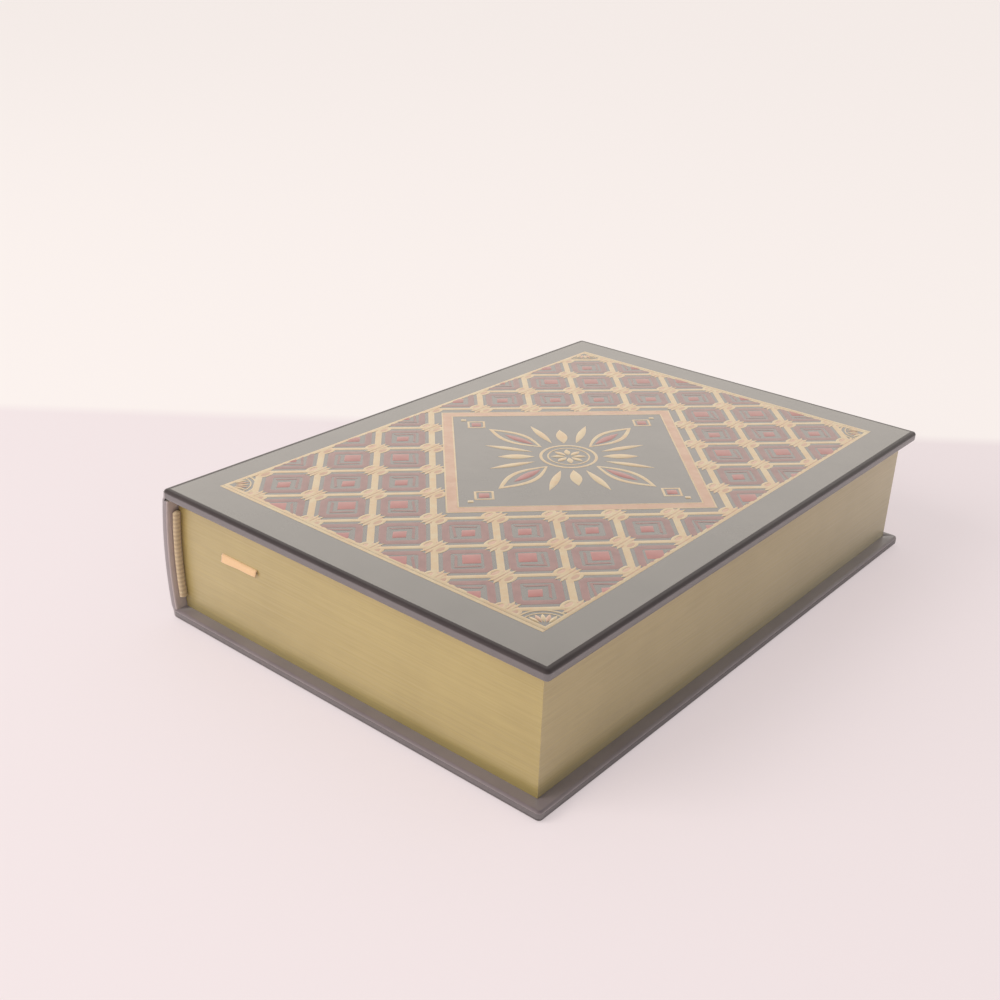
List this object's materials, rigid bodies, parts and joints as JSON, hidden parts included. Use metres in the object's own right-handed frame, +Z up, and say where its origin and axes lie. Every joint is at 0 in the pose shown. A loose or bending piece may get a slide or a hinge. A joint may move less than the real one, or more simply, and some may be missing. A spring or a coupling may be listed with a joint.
{
  "type": "book diversion safe",
  "caption": "Closed leather-bound book with gilt edges whose hollow page block hides a hinged steel box with a dial lock.",
  "frame": {"origin": "middle of the underside of the closed book", "axes": "+Z up through the front cover, +Y from the tail edge to the head edge, +X from the spine to the fore-edge"},
  "size_m": [0.1662, 0.235, 0.0494],
  "materials": {
    "leather": "near-black fine-grained leather, satin",
    "gold_foil": "blocked gold foil",
    "copper_foil": "blocked copper-coloured foil",
    "red_foil": "blocked red pigment foil",
    "greyboard": "grey millboard",
    "endpaper": "cream laid paper",
    "gilt_pages": "paper leaves with burnished gilt edges",
    "band_thread": "two-colour silk thread over a cord",
    "ribbon": "satin ribbon",
    "painted_steel": "dark grey powder coat",
    "plated_steel": "zinc-plated",
    "felt": "dark red wool felt",
    "brass": "satin brass",
    "dial_plastic": "black moulded plastic with white numbers"
  },
  "bodies": {
    "root": {"back_board": "greyboard", "back_leather": "leather", "back_pastedown": "endpaper", "spine_board": "greyboard", "spine_leather": "leather", "lower_pages": "gilt_pages", "upper_pages": "gilt_pages", "front_flyleaf": "endpaper", "tailband": "band_thread", "headband": "band_thread", "ribbon_marker": "ribbon", "box_tray": "painted_steel", "tray_rivet_1": "plated_steel", "tray_rivet_2": "plated_steel", "tray_rivet_3": "plated_steel", "tray_rivet_4": "plated_steel", "felt_pad": "felt", "lid_hinge_pin": "plated_steel"},
    "front_cover": {"front_board": "greyboard", "front_leather": "leather", "front_pastedown": "endpaper"},
    "lid": {"box_lid": "painted_steel", "escutcheon": "brass", "lock_case": "plated_steel", "case_screw_1": "plated_steel", "case_screw_2": "plated_steel", "case_screw_3": "plated_steel", "case_screw_4": "plated_steel", "dial_shaft": "plated_steel", "detent_spring": "plated_steel"},
    "bolt": {"lock_bolt": "plated_steel", "bolt_knob": "brass"},
    "dial_a": {"dial_1": "dial_plastic"},
    "dial_b": {"dial_2": "dial_plastic"},
    "dial_c": {"dial_3": "dial_plastic"}
  },
  "joints": [
    {"name": "cover_hinge", "type": "hinge", "parent": "root", "child": "front_cover", "pos_m": [-0.0824, 0, 0.0456], "axis": [0, -1, 0], "range_deg": [0, 194]},
    {"name": "lid_hinge", "type": "hinge", "parent": "root", "child": "lid", "pos_m": [-0.0612, 0, 0.0428], "axis": [0, -1, 0], "range_deg": [0, 97]},
    {"name": "bolt_slide", "type": "slide", "parent": "lid", "child": "bolt", "axis": [1, 0, 0], "range_m": [0, 0.004]},
    {"name": "dial_1_turn", "type": "hinge", "parent": "lid", "child": "dial_a", "pos_m": [0.0371, -0.0084, 0.0379], "axis": [0, 1, 0], "continuous": true},
    {"name": "dial_2_turn", "type": "hinge", "parent": "lid", "child": "dial_b", "pos_m": [0.0371, 0, 0.0379], "axis": [0, 1, 0], "continuous": true},
    {"name": "dial_3_turn", "type": "hinge", "parent": "lid", "child": "dial_c", "pos_m": [0.0371, 0.0084, 0.0379], "axis": [0, 1, 0], "continuous": true}
  ],
  "couplings": [
    {"joint": "lid_hinge", "follows": "cover_hinge", "ratio": 0.5}
  ]
}
